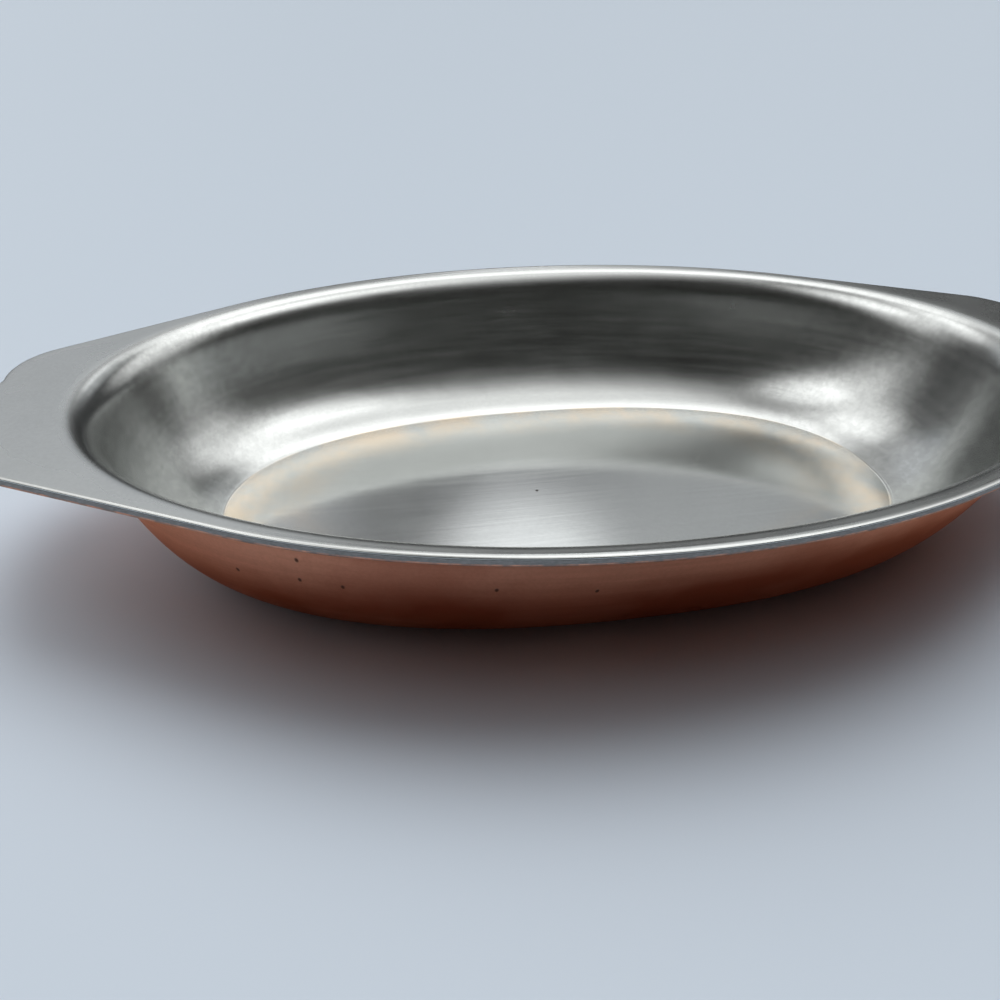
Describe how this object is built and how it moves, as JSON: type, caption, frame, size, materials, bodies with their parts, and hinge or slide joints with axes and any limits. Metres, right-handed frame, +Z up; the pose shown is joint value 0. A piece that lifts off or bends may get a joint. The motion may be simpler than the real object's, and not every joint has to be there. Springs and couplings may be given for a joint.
{
  "type": "flambe pan",
  "caption": "Shallow oval flambe pan of bonded sheet, satin steel inside and copper outside, with a narrow flange that widens into a flat ear at each end.",
  "frame": {"origin": "on the resting plane, under the middle of the pan", "axes": "+X along the pan from ear to ear, +Y across the pan, +Z up out of the bowl"},
  "size_m": [0.27, 0.138, 0.038],
  "materials": {
    "liner_steel": "satin, brushed along the pan on the floor and round the walls",
    "core_aluminium": "matte cut edge",
    "shell_copper": "satin polished copper, fine polishing lines round the pan, a few small pits"
  },
  "bodies": {
    "root": {"steel_liner": "liner_steel", "aluminium_core": "core_aluminium", "copper_shell": "shell_copper"}
  },
  "joints": []
}
